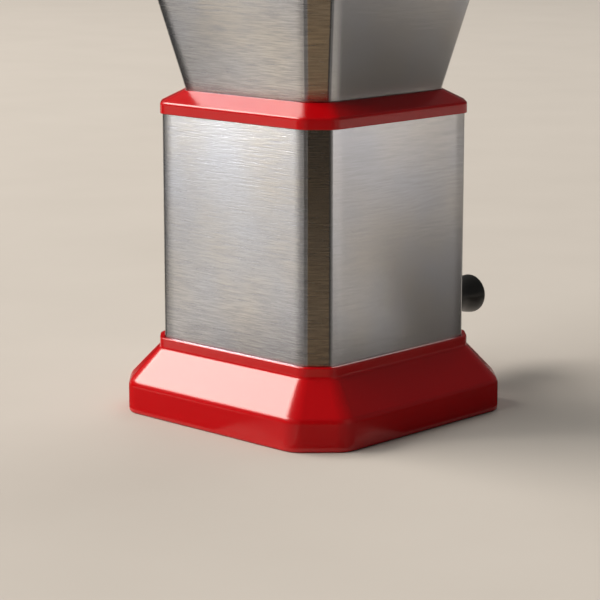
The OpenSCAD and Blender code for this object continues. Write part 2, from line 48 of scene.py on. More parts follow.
# the photograph's view: corner-on from the front left, a little above
cameraLook = {"turn": -46.485, "rise": 11.444, "distance": 0.9164, "lens": 131.9,
              "aim": (-0.00382, 0.00402, 0.0449)}
turn, rise = math.radians(cameraLook["turn"]), math.radians(cameraLook["rise"])
backward = Vector((math.sin(turn) * math.cos(rise), -math.cos(turn) * math.cos(rise), math.sin(rise)))
camera = bpy.data.objects.new("photoCamera", bpy.data.cameras.new("photoCamera"))
camera.data.lens = cameraLook["lens"]
camera.data.sensor_width = 36
camera.location = Vector(cameraLook["aim"]) + backward * cameraLook["distance"]
camera.rotation_euler = (-backward).to_track_quat("-Z", "Y").to_euler()
scene.collection.objects.link(camera)
scene.camera = camera
print("camera set")


def toLinear(hexColour):
    channels = [int(hexColour[i:i + 2], 16) / 255 for i in (1, 3, 5)]
    return tuple(c / 12.92 if c <= 0.04045 else ((c + 0.055) / 1.055) ** 2.4 for c in channels) + (1.0,)


# settings go to the sockets or attributes they name, links are socket: (node, output)
def addNode(tree, kind, settings, links=None):
    node = tree.nodes.new(kind)
    for key, value in settings.items():
        if isinstance(key, int) or key in node.inputs:
            node.inputs[key].default_value = value
        else:
            setattr(node, key, value)
    for key, (source, output) in (links or {}).items():
        tree.links.new(source.outputs[output], node.inputs[key])
    return node


def newMaterial(name):
    material = bpy.data.materials.new(name)
    material.use_nodes = True
    material.node_tree.nodes.clear()
    return material, material.node_tree


def closeMaterial(tree, shader):
    addNode(tree, "ShaderNodeOutputMaterial", {}, {"Surface": (shader, 0)})


# how often a pattern of this many millimetres repeats in a metre
def perMetre(*sizes):
    counts = [1 / (size * mm) for size in sizes]
    return counts[0] if len(counts) == 1 else counts


# 304 sheet, belt-brushed level: short streaks round the tower that drag reflections up and down, with
# faint cool and warm patches. On the two sides next to the crank's, the streaks are painted fainter in colour
# and lower in relief. This is painted light, standing in for the way light falls on those sides and shows the
# streaks less. The belt's lines are about 0.1 mm apart, and are drawn 0.5 mm apart so that they show.
def brushedStainless():
    look = {"cool": "#AEB2B9", "warm": "#B8B6B2", "line": "#949599", "streakLong": 11, "streakThin": 0.5,
            "lineFrom": 0.32, "lineTo": 0.62, "scuffLong": 40, "scuffThin": 1.4, "scuffShare": 0.12,
            "cloud": 38, "cloudFrom": 0.35, "cloudTo": 0.65, "cloudShare": 0.4, "smooth": 0.20,
            "coarse": 0.30, "relief": 0.75, "reliefHeight": 0.06, "wearAndSideFadeFrom": 0.75, "wearAndSideFadeTo": 0.95,
            "fadedSideLines": 0.3, "fadedSideTone": 0.55, "fadedSideRelief": 0.2, "drag": 0.75}
    material, tree = newMaterial("brushed 304 stainless sheet")
    place = addNode(tree, "ShaderNodeTexCoord", {})
    streakPlace = addNode(tree, "ShaderNodeMapping",
                          {"Scale": perMetre(look["streakLong"], look["streakLong"], look["streakThin"])},
                          {"Vector": (place, "Object")})
    scuffPlace = addNode(tree, "ShaderNodeMapping",
                         {"Scale": perMetre(look["scuffLong"], look["scuffLong"], look["scuffThin"])},
                         {"Vector": (place, "Object")})
    streaks = addNode(tree, "ShaderNodeTexNoise", {"Scale": 1.0, "Detail": 3.0, "Roughness": 0.6},
                      {"Vector": (streakPlace, "Vector")})
    scuffs = addNode(tree, "ShaderNodeTexNoise", {"Scale": 1.0, "Detail": 1.0, "Roughness": 0.5},
                     {"Vector": (scuffPlace, "Vector")})
    clouds = addNode(tree, "ShaderNodeTexNoise", {"Scale": perMetre(look["cloud"]), "Detail": 2.0},
                     {"Vector": (place, "Object")})
    patches = addNode(tree, "ShaderNodeMapRange",
                      {"From Min": look["cloudFrom"], "From Max": look["cloudTo"]},
                      {"Value": (clouds, "Fac")})
    grain = addNode(tree, "ShaderNodeMix", {"data_type": "FLOAT", "Factor": look["scuffShare"]},
                    {2: (streaks, "Fac"), 3: (scuffs, "Fac")})
    contrast = addNode(tree, "ShaderNodeMapRange",
                       {"From Min": look["lineFrom"], "From Max": look["lineTo"]},
                       {"Value": (grain, 0)})
    facing = addNode(tree, "ShaderNodeNewGeometry", {})
    sides = addNode(tree, "ShaderNodeSeparateXYZ", {}, {0: (facing, "Normal")})
    across = addNode(tree, "ShaderNodeMath", {"operation": "ABSOLUTE"}, {0: (sides, "Y")})
    # painted light: on faces that look along Y, the streak colour is evened towards one tone and the relief
    # is lowered, to match how the light falls on them
    sideFaceZone = {"From Min": look["wearAndSideFadeFrom"], "From Max": look["wearAndSideFadeTo"]}
    lines = addNode(tree, "ShaderNodeMapRange", {**sideFaceZone, "To Min": 1.0, "To Max": look["fadedSideLines"]},
                    {"Value": (across, 0)})
    depth = addNode(tree, "ShaderNodeMapRange",
                    {**sideFaceZone, "To Min": look["relief"], "To Max": look["fadedSideRelief"]},
                    {"Value": (across, 0)})
    rubbedAndSideFaded = addNode(tree, "ShaderNodeMix", {"data_type": "FLOAT", 2: look["fadedSideTone"]},
                     {"Factor": (lines, "Result"), 3: (contrast, "Result")})
    tint = addNode(tree, "ShaderNodeMix",
                   {"data_type": "RGBA", 6: toLinear(look["cool"]), 7: toLinear(look["warm"])},
                   {"Factor": (patches, "Result")})
    lined = addNode(tree, "ShaderNodeMix", {"data_type": "RGBA", 6: toLinear(look["line"])},
                    {"Factor": (rubbedAndSideFaded, 0), 7: (tint, 2)})
    worn = addNode(tree, "ShaderNodeMix", {"data_type": "FLOAT", "Factor": look["cloudShare"]},
                   {2: (rubbedAndSideFaded, 0), 3: (clouds, "Fac")})
    rough = addNode(tree, "ShaderNodeMapRange", {"To Min": look["coarse"], "To Max": look["smooth"]},
                    {"Value": (worn, 0)})
    relief = addNode(tree, "ShaderNodeBump", {"Distance": look["reliefHeight"] * mm},
                     {"Strength": (depth, "Result"), "Height": (streaks, "Fac")})
    level = addNode(tree, "ShaderNodeTangent", {"direction_type": "RADIAL", "axis": "Z"})
    steel = addNode(tree, "ShaderNodeBsdfPrincipled",
                    {"Metallic": 1.0, "Anisotropic": look["drag"], "Anisotropic Rotation": 0.25},
                    {"Base Color": (lined, 2), "Roughness": (rough, "Result"), "Normal": (relief, "Normal"),
                     "Tangent": (level, "Tangent")})
    closeMaterial(tree, steel)
    return material


# ABS from a polished mould: deep even red, glossy, with the faint swell of cooled plastic and light
# handling marks
def mouldedRedAbs():
    look = {"red": "#BF0009", "deep": "#B20008", "flow": 45, "peel": 3.0, "peelHeight": 0.02, "rub": 1.2,
            "wearAndSideFadeFrom": 0.35, "wearAndSideFadeTo": 0.75, "gloss": 0.19, "rubbedAndSideFaded": 0.28}
    material, tree = newMaterial("moulded glossy red ABS")
    place = addNode(tree, "ShaderNodeTexCoord", {})
    flow = addNode(tree, "ShaderNodeTexNoise", {"Scale": perMetre(look["flow"]), "Detail": 2.0},
                   {"Vector": (place, "Object")})
    peel = addNode(tree, "ShaderNodeTexNoise", {"Scale": perMetre(look["peel"]), "Detail": 1.0},
                   {"Vector": (place, "Object")})
    rub = addNode(tree, "ShaderNodeTexNoise",
                  {"Scale": perMetre(look["rub"]), "Detail": 4.0, "Roughness": 0.7},
                  {"Vector": (place, "Object")})
    tint = addNode(tree, "ShaderNodeMix",
                   {"data_type": "RGBA", 6: toLinear(look["deep"]), 7: toLinear(look["red"])},
                   {"Factor": (flow, "Fac")})
    rough = addNode(tree, "ShaderNodeMapRange",
                    {"From Min": look["wearAndSideFadeFrom"], "From Max": look["wearAndSideFadeTo"],
                     "To Min": look["gloss"], "To Max": look["rubbedAndSideFaded"]},
                    {"Value": (rub, "Fac")})
    relief = addNode(tree, "ShaderNodeBump", {"Strength": 0.1, "Distance": look["peelHeight"] * mm},
                     {"Height": (peel, "Fac")})
    plastic = addNode(tree, "ShaderNodeBsdfPrincipled", {"IOR": 1.54},
                      {"Base Color": (tint, 2), "Roughness": (rough, "Result"), "Normal": (relief, "Normal")})
    closeMaterial(tree, plastic)
    return material


# phenolic from a satin mould: near black with a wide soft sheen, finely pitted
def mouldedBlackPhenolic():
    look = {"black": "#171615", "worn": "#201F1E", "pit": 0.5, "pitDepth": 0.03, "hand": 9,
            "satin": 0.26, "dry": 0.38}
    material, tree = newMaterial("moulded satin black phenolic")
    place = addNode(tree, "ShaderNodeTexCoord", {})
    pits = addNode(tree, "ShaderNodeTexNoise", {"Scale": perMetre(look["pit"]), "Detail": 2.0},
                   {"Vector": (place, "Object")})
    hand = addNode(tree, "ShaderNodeTexNoise", {"Scale": perMetre(look["hand"]), "Detail": 3.0},
                   {"Vector": (place, "Object")})
    tint = addNode(tree, "ShaderNodeMix",
                   {"data_type": "RGBA", 6: toLinear(look["black"]), 7: toLinear(look["worn"])},
                   {"Factor": (hand, "Fac")})
    rough = addNode(tree, "ShaderNodeMapRange", {"To Min": look["satin"], "To Max": look["dry"]},
                    {"Value": (hand, "Fac")})
    relief = addNode(tree, "ShaderNodeBump", {"Strength": 0.25, "Distance": look["pitDepth"] * mm},
                     {"Height": (pits, "Fac")})
    plastic = addNode(tree, "ShaderNodeBsdfPrincipled", {"IOR": 1.6},
                      {"Base Color": (tint, 2), "Roughness": (rough, "Result"), "Normal": (relief, "Normal")})
    closeMaterial(tree, plastic)
    return material


# nylon from a spark-eroded mould: milky off-white, dull, with a fine even grain
def mouldedWhiteNylon():
    look = {"milk": "#E6E2D6", "warm": "#DCD6C6", "grain": 0.7, "grainHeight": 0.03, "flow": 18,
            "worn": 0.42, "dull": 0.58, "milkiness": 0.08, "milkDepth": 2}
    material, tree = newMaterial("moulded white nylon")
    place = addNode(tree, "ShaderNodeTexCoord", {})
    grain = addNode(tree, "ShaderNodeTexNoise", {"Scale": perMetre(look["grain"]), "Detail": 3.0},
                    {"Vector": (place, "Object")})
    flow = addNode(tree, "ShaderNodeTexNoise", {"Scale": perMetre(look["flow"]), "Detail": 2.0},
                   {"Vector": (place, "Object")})
    tint = addNode(tree, "ShaderNodeMix",
                   {"data_type": "RGBA", 6: toLinear(look["milk"]), 7: toLinear(look["warm"])},
                   {"Factor": (flow, "Fac")})
    rough = addNode(tree, "ShaderNodeMapRange", {"To Min": look["worn"], "To Max": look["dull"]},
                    {"Value": (grain, "Fac")})
    relief = addNode(tree, "ShaderNodeBump", {"Strength": 0.2, "Distance": look["grainHeight"] * mm},
                     {"Height": (grain, "Fac")})
    plastic = addNode(tree, "ShaderNodeBsdfPrincipled",
                      {"IOR": 1.53, "Subsurface Weight": look["milkiness"],
                       "Subsurface Scale": look["milkDepth"] * mm},
                      {"Base Color": (tint, 2), "Roughness": (rough, "Result"), "Normal": (relief, "Normal")})
    closeMaterial(tree, plastic)
    return material


# nickel-plated steel: bright and slightly warm, with fine tumbling marks that soften what it mirrors
def platedSteel():
    look = {"bright": "#CFCCC6", "dull": "#B9B5AE", "mark": 1.5, "markDepth": 0.02,
            "smooth": 0.16, "coarse": 0.28}
    material, tree = newMaterial("nickel-plated steel")
    place = addNode(tree, "ShaderNodeTexCoord", {})
    marks = addNode(tree, "ShaderNodeTexNoise",
                    {"Scale": perMetre(look["mark"]), "Detail": 4.0, "Roughness": 0.65},
                    {"Vector": (place, "Object")})
    tint = addNode(tree, "ShaderNodeMix",
                   {"data_type": "RGBA", 6: toLinear(look["dull"]), 7: toLinear(look["bright"])},
                   {"Factor": (marks, "Fac")})
    rough = addNode(tree, "ShaderNodeMapRange", {"To Min": look["coarse"], "To Max": look["smooth"]},
                    {"Value": (marks, "Fac")})
    relief = addNode(tree, "ShaderNodeBump", {"Strength": 0.08, "Distance": look["markDepth"] * mm},
                     {"Height": (marks, "Fac")})
    steel = addNode(tree, "ShaderNodeBsdfPrincipled", {"Metallic": 1.0},
                    {"Base Color": (tint, 2), "Roughness": (rough, "Result"), "Normal": (relief, "Normal")})
    closeMaterial(tree, steel)
    return material


finishes = {"red_abs": mouldedRedAbs(), "brushed_stainless": brushedStainless(),
            "bright_steel": platedSteel(), "white_nylon": mouldedWhiteNylon(),
            "black_plastic": mouldedBlackPhenolic()}
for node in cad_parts.values():
    node.material_slots[0].material = finishes[node.material_slots[0].material.name]
print("materials made:", len(finishes))


# lowest and highest corner of a CAD node, in millimetres
def span(node):
    low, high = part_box(node)
    return low / mm, high / mm


sharpAngle = math.radians(32)  # folds sharper than this are shaded as edges
sameSpot = 0.002 * mm  # points closer than this are one


# shapes are drawn in millimetres and kept in metres
def newPiece(name, verts, faces):
    mesh = bpy.data.meshes.new(name)
    mesh.from_pydata([Vector(v) * mm for v in verts], [], faces)
    mesh.shade_smooth()
    mesh.set_sharp_from_angle(angle=sharpAngle)
    piece = bpy.data.objects.new(name, mesh)
    scene.collection.objects.link(piece)
    return piece


# what the modifiers give becomes the mesh, without faces that have no area
def settleMesh(piece):
    settled = bpy.data.meshes.new_from_object(piece.evaluated_get(bpy.context.evaluated_depsgraph_get()))
    piece.modifiers.clear()
    piece.data = settled
    cleaned = bmesh.new()
    cleaned.from_mesh(settled)
    bmesh.ops.dissolve_degenerate(cleaned, dist=sameSpot, edges=cleaned.edges)
    cleaned.to_mesh(settled)
    cleaned.free()
    settled.set_sharp_from_angle(angle=sharpAngle)


# the finish, flats shaded flat beside rounded edges, and the body and nodes that the piece goes with
def fitPiece(piece, body, slot, *nodes):
    piece.data.materials.append(finishes[slot])
    flats = piece.modifiers.new("flatFaces", "WEIGHTED_NORMAL")
    flats.weight = 100
    flats.keep_sharp = True
    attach(piece, body)
    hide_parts(*nodes)
    print("made", piece.name)


leastBend = 0.4  # a section's corners never get sharper


# a section is half the width across the flats, the leg of the corner bevels and the corner radius
def grow(section, by):
    half, cut, radius = section
    return (half + by, cut + by * (2 - math.sqrt(2)), max(radius + by, leastBend))


def between(low, high, share):
    return tuple(a + (b - a) * share for a, b in zip(low, high))


bowSteps = 10  # parts that a swelling flat is drawn in


# square with bevelled corners; each of its eight bends turns 45 degrees in (turn, extra radius, steps) arcs,
# taken from the wide flat to the bevel, and a bow swells the four wide flats
def bentOutline(section, arcs, bow):
    half, cut, radius = section
    bevel = (2 * half - cut) / math.sqrt(2)
    corners = []
    for k in range(8):
        here, following = (half, bevel) if k % 2 == 0 else (bevel, half)
        facing = math.radians(45 * k)
        outward = Vector((math.cos(facing), math.sin(facing)))
        along = Vector((-math.sin(facing), math.cos(facing)))
        corner = outward * here + along * (following * math.sqrt(2) - here)
        path, heading = [Vector((0, 0))], facing + math.pi / 2
        for turned, extra, steps in arcs if k % 2 == 0 else reversed(arcs):
            step = math.radians(turned) / steps
            for i in range(steps):
                heading += step / 2
                chord = 2 * (radius + extra) * math.sin(step / 2)
                path.append(path[-1] + Vector((math.cos(heading), math.sin(heading))) * chord)
                heading += step / 2
        leaving = Vector((math.cos(heading), math.sin(heading)))
        start = corner - along * (path[-1].cross(leaving) / along.cross(leaving))
        corners.append([start + p for p in path])
    outline = []
    for k, corner in enumerate(corners):
        outline += corner
        if bow is not None and k % 2 == 1:
            end, facing = corners[(k + 1) % 8][0], math.radians(45 * (k + 1))
            outward = Vector((math.cos(facing), math.sin(facing)))
            for i in range(1, bowSteps):
                t = i / bowSteps
                outline.append(corner[-1].lerp(end, t) + outward * bow * (2 * t * (1 - t)) ** 2 * 4)
    return outline


softShare = 0.45  # most of a run that the softening of one end takes up


# rings of (section, height, softening) along a profile; a softened corner becomes a short curve
def softRings(profile, closed, steps=4):
    rings = []
    for i, (section, z, soft) in enumerate(profile):
        atEnd = not closed and i in (0, len(profile) - 1)
        if soft == 0 or atEnd:
            rings.append((section, z))
            continue
        ends = []
        for other in (profile[i - 1], profile[(i + 1) % len(profile)]):
            reach = math.hypot(other[0][0] - section[0], other[1] - z)
            share = min(soft / reach, softShare)
            ends.append((between(section, other[0], share), z + (other[1] - z) * share))
        for j in range(steps + 1):
            t = j / steps
            first = (between(ends[0][0], section, t), ends[0][1] + (z - ends[0][1]) * t)
            second = (between(section, ends[1][0], t), z + (ends[1][1] - z) * t)
            rings.append((between(first[0], second[0], t), first[1] + (second[1] - first[1]) * t))
    return rings


# walls between rings; a closed skin runs back to its first ring, an open one is capped at both ends
def skinRings(name, rings, closed, arcs=((45, 0, 6),), bows=None):
    bows = bows or [None] * len(rings)
    outlines = [bentOutline(section, arcs, bow) for (section, z), bow in zip(rings, bows)]
    count = len(outlines[0])
    verts = [(p.x, p.y, z) for outline, (section, z) in zip(outlines, rings) for p in outline]
    faces = []
    for r in range(len(rings) if closed else len(rings) - 1):
        low, high = r * count, (r + 1) % len(rings) * count
        for i in range(count):
            j = (i + 1) % count
            faces.append((low + i, low + j, high + j, high + i))
    if not closed:
        faces.append(tuple(reversed(range(count))))
        faces.append(tuple(range(len(verts) - count, len(verts))))
    return newPiece(name, verts, faces)


# profile of (radius, distance) pairs turned about an axis that starts at a point
def turnProfile(name, profile, start, axis, segments=64):
    across = axis.orthogonal().normalized()
    third = axis.cross(across)
    verts, faces = [], []
    for radius, distance in profile:
        for i in range(segments):
            a = 2 * math.pi * i / segments
            verts.append(start + axis * distance + (across * math.cos(a) + third * math.sin(a)) * radius)
    for r in range(len(profile) - 1):
        for i in range(segments):
            j = (i + 1) % segments
            faces.append((r * segments + i, r * segments + j, (r + 1) * segments + j, (r + 1) * segments + i))
    faces.append(tuple(reversed(range(segments))))
    faces.append(tuple(range(len(verts) - segments, len(verts))))
    return newPiece(name, verts, faces)


# angles along a quarter round
quarterTurn = [math.pi / 2 * i / 8 for i in range(9)]


# a flat path with its corners rounded to a radius
def roundPath(corners, radius, steps=6):
    path = [corners[0]]
    for before, here, after in zip(corners, corners[1:], corners[2:]):
        arriving, leaving = (here - before).normalized(), (after - here).normalized()
        swing = arriving.angle_signed(leaving)
        reach = radius * math.tan(abs(swing) / 2)
        start, end = here - arriving * reach, here + leaving * reach
        for j in range(steps + 1):
            t = j / steps
            path.append(start.lerp(here, t).lerp(here.lerp(end, t), t))
    return path + [corners[-1]]


# bends ease in over their first 6 degrees, and the flats swell a little
sheet = {"thick": 0.6, "seat": 0.2, "bend": 3, "arcs": ((6, 50, 4), (39, 0, 10)), "bow": 0.3, "bands": 8}


# outside and inside of a sheet between two heights, with its flats swelling to the middle
def sheetRings(outsideAt, thick, low, high):
    shares = [i / sheet["bands"] for i in range(sheet["bands"] + 1)]
    outside = [(outsideAt(low + (high - low) * t), low + (high - low) * t) for t in shares]
    inside = [(grow(section, -thick), z) for section, z in reversed(outside)]
    bows = [sheet["bow"] * math.sin(math.pi * t) for t in shares]
    return outside + inside, bows + bows[::-1]


trayLow, trayHigh = span("base_tray")
sleeveLow, sleeveHigh = span("body_sleeve")
collarLow, collarHigh = span("collar")
hopperLow, hopperHigh = span("hopper")

sleeveLook = {"cut": 7.8, "bushHole": 7.05, "drillReach": 6}
bodySection = (sleeveHigh.x, sleeveLook["cut"], sheet["bend"])

trayLook = {"skirtCut": 15.6, "skirtRound": 11, "skirtHeight": 12.5, "shoulderHeight": 14, "lipWall": 2,
            "wall": 2.2, "floor": 2.4, "ledge": 2, "lipRound": 7, "skirtEdge": 1.0, "shoulderEdge": 1.8,
            "crease": 0.9, "lipEdge": 0.6, "socketEdge": 0.2, "ledgeEdge": 0.4, "wellCorner": 2.5,
            "wellFlat": 6, "hollowCorner": 0.8, "roofCorner": 0.6, "footEdge": 0.3}


def makeTray():
    look = trayLook
    lip = grow(bodySection, sheet["seat"] + look["lipWall"])[:2] + (look["lipRound"],)
    skirt = (trayHigh.x, look["skirtCut"], look["skirtRound"])
    skirtInside = grow(skirt, -look["wall"])
    well = grow(bodySection, -look["ledge"])
    core = grow(well, look["wall"])
    socket = grow(bodySection, sheet["seat"])
    shoulderTop = look["skirtHeight"] + look["shoulderHeight"]
    ledge = sleeveLow.z
    roof = ledge - look["wall"]
    lean = (skirt[0] - lip[0]) / look["shoulderHeight"]
    slant = look["wall"] * math.hypot(1, lean)
    roofEdge = grow(between(skirt, lip, (roof - look["skirtHeight"]) / look["shoulderHeight"]), -slant)
    hollowEdge = look["skirtHeight"] - (slant - look["wall"]) / lean
    profile = [(core, 0, 0), (core, roof, look["hollowCorner"]), (roofEdge, roof, look["roofCorner"]),
               (skirtInside, hollowEdge, look["hollowCorner"]), (skirtInside, 0, look["footEdge"]),
               (skirt, 0, look["skirtEdge"]), (skirt, look["skirtHeight"], look["shoulderEdge"]),
               (lip, shoulderTop, look["crease"]), (lip, trayHigh.z, look["lipEdge"]),
               (socket, trayHigh.z, look["socketEdge"]), (socket, ledge, look["socketEdge"]),
               (well, ledge, look["ledgeEdge"]), (well, look["floor"], look["wellCorner"]),
               (grow(well, -look["wellFlat"]), look["floor"], 0)]
    tray = skinRings("flaredTray", softRings(profile, closed=False), closed=False)
    fitPiece(tray, "tray", "red_abs", "base_tray")


def makeSleeve():
    look = sleeveLook
    rings, bows = sheetRings(lambda z: bodySection, sheet["thick"], trayHigh.z, collarLow.z)
    ends = [(bodySection, sleeveHigh.z), (grow(bodySection, -sheet["thick"]), sleeveHigh.z),
            (grow(bodySection, -sheet["thick"]), sleeveLow.z), (bodySection, sleeveLow.z)]
    half = len(rings) // 2
    rings = rings[:half] + ends[:2] + rings[half:] + ends[2:]
    bows = bows[:half] + [0, 0] + bows[half:] + [0, 0]
    sleeve = skinRings("bentSleeve", rings, closed=True, arcs=sheet["arcs"], bows=bows)
    bushLow, bushHigh = span("bush_right")
    bushMiddle = (bushLow + bushHigh) / 2
    drill = turnProfile("bushDrill", [(look["bushHole"], 0), (look["bushHole"], 2 * look["drillReach"])],
                        Vector((bodySection[0] - look["drillReach"], bushMiddle.y, bushMiddle.z)),
                        Vector((1, 0, 0)))
    cut = sleeve.modifiers.new("bushHole", "BOOLEAN")
    cut.object = drill
    cut.solver = "EXACT"
    settleMesh(sleeve)
    bpy.data.objects.remove(drill)
    fitPiece(sleeve, "tower", "brushed_stainless", "body_sleeve")


hopperLook = {"neckHalf": 40.3, "neckCut": 7.1, "mouthCut": 9.2, "openingHalf": 33.08, "openingCut": 1.0,
              "openingBend": 0.5}
neckSection = (hopperLook["neckHalf"], hopperLook["neckCut"], sheet["bend"])
mouthSection = (hopperHigh.x, hopperLook["mouthCut"], sheet["bend"])
openingSection = (hopperLook["openingHalf"], hopperLook["openingCut"], hopperLook["openingBend"])
funnelLean = (mouthSection[0] - neckSection[0]) / (hopperHigh.z - collarHigh.z)
funnelThick = sheet["thick"] * math.hypot(1, funnelLean)


# outside of the funnel at a height
def funnelAt(z, by=0):
    return grow(between(neckSection, mouthSection, (z - collarHigh.z) / (hopperHigh.z - collarHigh.z)), by)


def makeHopper():
    low, top = hopperLow.z, hopperHigh.z
    floorTop = low + sheet["thick"]
    rings, bows = sheetRings(funnelAt, funnelThick, collarHigh.z, top)
    ends = [(funnelAt(floorTop, -funnelThick), floorTop), (openingSection, floorTop), (openingSection, low),
            (funnelAt(low), low)]
    bows += [0] * len(ends)
    hopper = skinRings("foldedHopper", rings + ends, closed=True, arcs=sheet["arcs"], bows=bows)
    fitPiece(hopper, "tower", "brushed_stainless", "hopper")


collarLook = {"cutEase": 0.9, "cornerRound": 7, "topRound": 5, "wall": 1.4, "rimHeight": 4.5, "land": 0.5,
              "lap": 3.3, "lowEdge": 0.5, "ridge": 0.9, "topEdge": 0.35, "neckEdge": 0.15, "socketEdge": 0.3}


def makeCollar():
    look = collarLook
    half, cut = grow(bodySection, sheet["seat"] + look["wall"])[:2]
    outside = (half, cut + look["cutEase"], look["cornerRound"])
    topEdge = funnelAt(collarHigh.z, sheet["seat"] + look["land"])[:2] + (look["topRound"],)
    socket = grow(bodySection, sheet["seat"])
    deckLow, deckTop, top = collarLow.z + look["lap"], hopperLow.z, collarHigh.z
    profile = [(outside, collarLow.z, look["lowEdge"]),
               (outside, collarLow.z + look["rimHeight"], look["ridge"]), (topEdge, top, look["topEdge"]),
               (funnelAt(top, sheet["seat"]), top, look["neckEdge"]),
               (funnelAt(deckTop, sheet["seat"]), deckTop, 0), (openingSection, deckTop, 0),
               (openingSection, deckLow, 0), (socket, deckLow, 0), (socket, collarLow.z, look["socketEdge"])]
    collar = skinRings("slopedCollar", softRings(profile, closed=True), closed=True)
    fitPiece(collar, "tower", "red_abs", "collar")


rimLook = {"proud": 2, "inward": 3, "edge": 1.0, "lowEdge": 0.6, "slot": 0.05}


def makeRim():
    look = rimLook
    low, high = span("hopper_rim")
    outside, inside = grow(mouthSection, look["proud"]), grow(mouthSection, -look["inward"])
    slot = look["slot"]
    profile = [(outside, low.z, look["lowEdge"]), (outside, high.z, look["edge"]),
               (inside, high.z, look["edge"]), (inside, low.z, look["lowEdge"]),
               (funnelAt(low.z, -funnelThick - slot), low.z, 0),
               (funnelAt(hopperHigh.z, -funnelThick - slot), hopperHigh.z, 0),
               (funnelAt(hopperHigh.z, slot), hopperHigh.z, 0), (funnelAt(low.z, slot), low.z, 0)]
    rim = skinRings("mouthRim", softRings(profile, closed=True), closed=True)
    fitPiece(rim, "tower", "red_abs", "hopper_rim")


lidLook = {"edgeHeight": 4, "slopeWidth": 10, "wall": 2, "skirtHeight": 7, "skirtGap": 0.3, "lowEdge": 0.5,
           "ridge": 1.2, "panelEdge": 1.6, "panelFlat": 4, "insideCorner": 1, "skirtInsideEdge": 0.5,
           "skirtEdge": 0.7, "seatCorner": 0.2}


def makeLid():
    look = lidLook
    low, high = span("lid")
    seat = low.z + look["skirtHeight"]
    edge = grow(mouthSection, rimLook["proud"])
    panel = grow(edge, -look["slopeWidth"])
    skirt = grow(mouthSection, -rimLook["inward"] - look["skirtGap"])
    skirtInside, panelInside = grow(skirt, -look["wall"]), grow(panel, -look["wall"])
    ceiling, ridge = high.z - look["wall"], seat + look["edgeHeight"]
    profile = [(grow(panelInside, -look["panelFlat"]), ceiling, 0),
               (panelInside, ceiling, look["insideCorner"]),
               (skirtInside, ridge - look["wall"], look["insideCorner"]),
               (skirtInside, low.z, look["skirtInsideEdge"]), (skirt, low.z, look["skirtEdge"]),
               (skirt, seat, look["seatCorner"]), (edge, seat, look["lowEdge"]), (edge, ridge, look["ridge"]),
               (panel, high.z, look["panelEdge"]), (grow(panel, -look["panelFlat"]), high.z, 0)]
    lid = skinRings("slopedLid", softRings(profile, closed=False), closed=False)
    fitPiece(lid, "lid", "red_abs", "lid")


# flares are steps in or out from foot, neck and brim, with a height in mm or as a share of the knob's
lidKnobLook = {"tip": 0.4, "foot": 8.4, "footEdge": 0.3, "footFlare": ((0.4, 1.0), (1.1, 1.9)), "neck": 6.6,
               "neckFoot": 3.4, "neckFlare": ((0, 0.38), (0.5, 0.43), (1.8, 0.47)), "brim": 11.6,
               "brimFlare": ((1.2, 0.5), (0, 0.54)), "crown": 3.2, "crownFrom": 0.82, "dish": 0.5,
               "dishRings": ((5, 0.1), (7, 0.7))}


def makeLidKnob():
    look = lidKnobLook
    low, high = span("lid_knob")
    tall, wide, crown = high.z - low.z, high.x, look["crown"]
    crownLow = tall * look["crownFrom"]
    points = [(look["tip"], 0), (look["foot"] - look["footEdge"], 0), (look["foot"], look["footEdge"])]
    points += [(look["foot"] - inward, height) for inward, height in look["footFlare"]]
    points.append((look["neck"], look["neckFoot"]))
    points += [(look["neck"] + outward, tall * share) for outward, share in look["neckFlare"]]
    points += [(look["brim"] - inward, tall * share) for inward, share in look["brimFlare"]]
    points += [(wide - crown + crown * math.cos(a), crownLow + (tall - crownLow) * math.sin(a))
               for a in quarterTurn]
    points += [(wide - inward, tall - look["dish"] * share) for inward, share in look["dishRings"]]
    points.append((look["tip"], tall - look["dish"]))
    knob = turnProfile("lidKnob", points, Vector((0, 0, low.z)), Vector((0, 0, 1)))
    fitPiece(knob, "lid", "black_plastic", "lid_knob")


gripLook = {"bore": 3.6, "edge": 1.5, "capPocket": 5.8, "pocketDepth": 2.4, "pocketEdge": 0.25, "taper": 1.6,
            "bulge": 10, "rings": 30}


# pear-shaped grip that narrows towards the arm
def makeGrip():
    look = gripLook
    low, high = span("knob_grip")
    length, radius = high.x - low.x, high.z - (low.z + high.z) / 2
    slim, edge = radius - look["taper"], look["edge"]
    points = [(look["bore"], 0)]
    points += [(slim - edge * (1 - math.sin(a)), edge * (1 - math.cos(a))) for a in quarterTurn]
    for i in range(1, look["rings"]):
        distance = edge + (length - 2 * edge) * i / look["rings"]
        fall = min((length - edge - distance) / look["bulge"], 1)
        points.append((radius - look["taper"] * fall * fall * (3 - 2 * fall), distance))
    points += [(radius - edge * (1 - math.cos(a)), length - edge * (1 - math.sin(a))) for a in quarterTurn]
    pocket, pocketFloor = look["capPocket"], length - look["pocketDepth"]
    points += [(pocket + look["pocketEdge"], length), (pocket, length - look["pocketEdge"]),
               (pocket, pocketFloor), (look["bore"], pocketFloor)]
    middle = (low + high) / 2
    start = Vector((low.x, middle.y, middle.z))
    grip = turnProfile("turnedGrip", points, start, Vector((1, 0, 0)), segments=72)
    fitPiece(grip, "grip", "black_plastic", "knob_grip")


armLook = {"thick": 2.5, "bend": 6, "joggleTop": 82, "joggleLow": 49, "edge": 0.45, "endSteps": 12}


